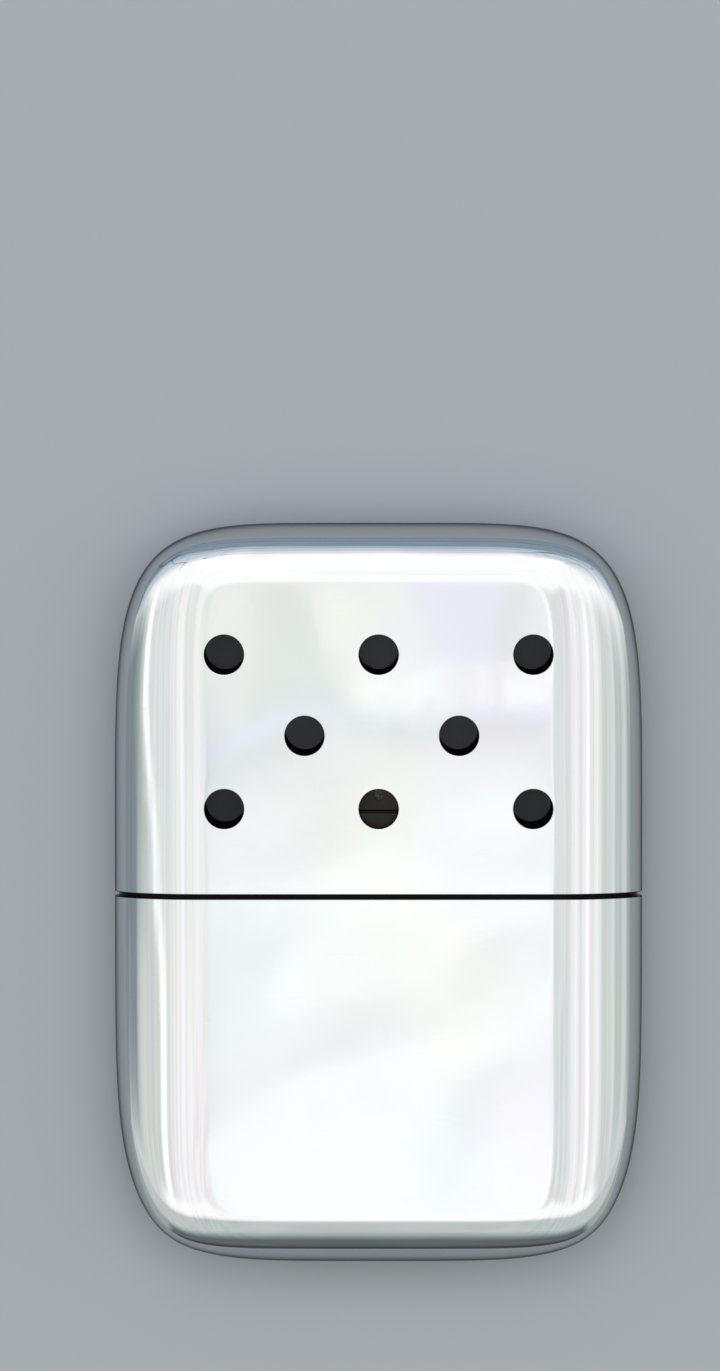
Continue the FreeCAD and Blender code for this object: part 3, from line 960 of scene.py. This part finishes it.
class Sky(Graph):
    """Soft light all round, which the polished case mirrors, by direction. A direction has the parts x
    across the case, y along it and z up, and leans from overhead by an angle in degrees, and by one
    across and one along the case. Each layer takes the light so far and covers a part of it."""

    def __init__(self, tree):
        super().__init__(tree, "Generated")
        self.x, self.y, self.z = self.axes()
        above = self.z.at_least(0.0005)
        self.across = self.degrees("ARCTAN2", self.x, above)
        self.along = self.degrees("ARCTAN2", self.y, above)
        self.lean = self.degrees("ARCCOSINE", self.z)
        self.side, self.end = abs(self.x), abs(self.y)
        self.corner = self.side ** 2.0
        self.skyline = self.math("SQRT", (1.0 - self.corner).at_least(0.0001))

    def ceiling(self):
        """Long panels that run along the case, by the lean across it. Those on the left swerve away
        towards the tank's end, except at the middle and the edge, and turn paler as they do."""
        swerve = (self.y * 450.0 + 26.0).at_least(-20.0).at_most(0.0)
        off_edge, off_middle = self.across.ranged(-85, -52), self.across.ranged(-10, -35)
        left = (self.across + swerve * off_edge * off_middle).ramp(LEFT_PANELS)
        left = self.mix(swerve * -0.05, left, self.across.ramp(LEFT_FOOT), "LIGHTEN")
        return self.mix(self.across > 0.0, left, self.across.ramp(RIGHT_PANELS))

    def lid_panels(self, tone):
        """Paler panels over the lid's middle, which fade at a slant and have a row of windows."""
        slid = self.along + self.across.at_most(0.0) * -0.25
        panels = self.mix(self.along.ranged(-3.2, -3.0), slid.ramp(LID_FADE), self.across.ramp(LID_PANELS))
        row = self.along.ranged(-3.58, -3.44) * self.along.ranged(-3.02, -3.14)
        panels = self.mix(row, panels, self.across.ramp(WINDOWS))
        overhead = self.across.ranged(-2.6, -1.7) * self.across.ranged(3.0, 2.0)
        return self.mix(overhead, tone, panels, "MULTIPLY")

    def ripples(self, tone):
        """Slanting ripples over the tank: noise on the leans, turned and stretched."""
        turned_x = self.across * 0.30 + self.along * 0.15
        turned_y = self.across * -0.62 + self.along * 1.25
        ripple = self.noise(1.0, 2.0, self.joined(turned_x, turned_y)).ranged(0.36, 0.58, 0.88, 1.0)
        over_tank = self.along.ranged(-4.6, -5.4) * self.lean.ranged(16, 10)
        return self.mix(over_tank, tone, self.mix(1.0, tone, ripple, "MULTIPLY"))

    def top_wall(self, tone):
        """A white wall with a blue foot beyond the lid's end. It begins at an arch, lower on the right,
        and the blue at a power of the way to the side. Its bands go by an angle whose sine rises evenly
        from arch to blue and from blue to skyline. The blue's edge wanders, and dark threads cross it
        where noise passes its middle."""
        on_right = self.x > 0.0
        arch = self.side.ranged(0.03, 0.27) * (0.136 - on_right * 0.045) - 0.036
        blue = (1.0 - self.side) ** (on_right * 0.9 + 1.2) * 0.645 + 0.105
        sine = self.y.even(arch, blue, 0.731) + self.y.even(blue, self.skyline, 0.269)
        rise = self.degrees("ARCSINE", sine)
        rise = rise + (self.noise(1.6) - 0.5) * 16.0 * rise.ranged(52, 62)
        thread = self.noise(1.5, 0.0, self.joined(self.x, self.y, self.z * 2.5)) - 0.5
        light = 1.0 - rise.ranged(40, 56) * abs(thread).ranged(0.0, 0.018, 0.60, 0.0)
        wall = self.mix(1.0, rise.ramp(TOP_BANDS), light, "MULTIPLY")
        share = self.y.even(arch - self.corner * 0.12, arch + self.corner * 0.16 + 0.03)
        return self.mix(share, tone, wall)

    def foot_wall(self, tone):
        """A grey wall with a dark foot beyond the tank's end. It begins at a sill, and its bands go by
        an angle whose sine grows evenly from the sill to the skyline. Towards the sides the angle is
        held between limits, so that the dark foot thins out at the corners."""
        sill = self.side.ranged(0.0, 0.4, 0.140, 0.235) - self.side.ranged(0.5, 1.0, 0.0, 0.07)
        drop = self.degrees("ARCSINE", self.end.even(sill, self.skyline, 0.86) + 0.14)
        drop = drop.at_least(self.side.ranged(0.25, 0.75, 0.0, 19.0))
        drop = drop.at_most(self.side.ranged(0.40, 0.73, 90.0, 52.0))
        share = self.end.even(sill - self.corner * 0.08, sill + 0.03) * (self.y < 0.0)
        return self.mix(share, tone, drop.ramp(FOOT_BANDS))

    def streaks(self, tone):
        """Fine streaks along the case, away from overhead, and faint clouds of tints."""
        fine = self.noise(1.0, 3.0, self.joined(self.across * 0.55, self.along * 0.03))
        streak = self.lean.ranged(6, 12) * fine.ranged(0.35, 0.65, -0.06, 0.07) + 1.0
        tint = self.noise(0.35, 2.0, self.joined(self.across, self.along), output="Color")
        tint = self.mix(1.0, tint, (2.0, 2.0, 2.0), "MULTIPLY")
        return self.mix(0.10, self.mix(1.0, tone, streak, "MULTIPLY"), tint, "MULTIPLY")


def studio_sky(scene, strength):
    """Lights the scene with the sky, layer on layer."""
    scene.world = bpy.data.worlds.new("studio")
    scene.world.use_nodes = True
    sky = Sky(scene.world.node_tree)
    tone = sky.ceiling()
    for layer in (sky.lid_panels, sky.ripples, sky.top_wall, sky.foot_wall, sky.streaks):
        tone = layer(tone)
    background = sky.nodes["Background"]
    background.inputs["Strength"].default_value = strength
    sky.put(background.inputs["Color"], tone)


class BuildStage(bpy.types.Operator):
    """Set the floor, the light and the camera."""

    bl_idname = "warmer.build_stage"
    bl_label = "Stage"

    def execute(self, context):
        scene, stage = context.scene, context.scene.warmer_stage
        half, level = stage.floor_size / 2, case_low[2] - 0.02 * MM
        mesh = bpy.data.meshes.new("floor")
        corners = [(-half, -half, level), (half, -half, level), (half, half, level), (-half, half, level)]
        mesh.from_pydata(corners, [], [(0, 1, 2, 3)])
        mesh.materials.append(floor_paint(stage.floor))
        floor = linked("floor", mesh)
        studio_sky(scene, stage.sky)
        lamp = bpy.data.lights.new("key", "AREA")
        lamp.shape = "ELLIPSE"
        lamp.size, lamp.size_y, lamp.energy = stage.key_width, stage.key_height, stage.key
        key = linked("key", lamp)
        key.location = stage.key_place
        key.rotation_euler = (-key.location).to_track_quat("-Z", "Y").to_euler()
        scene.view_settings.view_transform = "Standard"
        lens = bpy.data.cameras.new("camera")
        lens.lens = stage.lens
        camera = linked("camera", lens)
        back, rise = math.sin(stage.lean) * stage.distance, math.cos(stage.lean) * stage.distance
        camera.location = (stage.frame_shift, back, mid_height + rise)
        camera.rotation_euler = (stage.frame_lean - stage.lean, 0.0, 0.0)
        scene.camera = camera
        return {"FINISHED"}


class WarmerPanel(bpy.types.Panel):
    """Buttons for each piece of the warmer."""

    bl_idname = "VIEW3D_PT_warmer"
    bl_label = "Hand warmer"
    bl_space_type = "VIEW_3D"
    bl_region_type = "UI"
    bl_category = "Warmer"

    def draw(self, context):
        for build in BUILDERS:
            self.layout.operator(build.bl_idname)


BUILDERS = (BuildLid, BuildTank, BuildCollar, BuildNeck, BuildBurner, BuildStage)
SETTINGS = {"warmer_case": WarmerCase, "warmer_burner": WarmerBurner, "warmer_stage": WarmerStage}
register_classes, unregister_classes = bpy.utils.register_classes_factory(
    (*SETTINGS.values(), *BUILDERS, WarmerPanel))


def register():
    """Registers the settings, the operators and the panel."""
    register_classes()
    for name, group in SETTINGS.items():
        setattr(bpy.types.Scene, name, PointerProperty(type=group))


def unregister():
    """Takes them away again."""
    for name in SETTINGS:
        delattr(bpy.types.Scene, name)
    unregister_classes()


def main():
    """Builds every piece and the stage."""
    register()
    bpy.ops.warmer.build_lid()
    bpy.ops.warmer.build_tank()
    bpy.ops.warmer.build_collar()
    bpy.ops.warmer.build_neck()
    bpy.ops.warmer.build_burner()
    bpy.ops.warmer.build_stage()


if __name__ == "__main__":
    main()
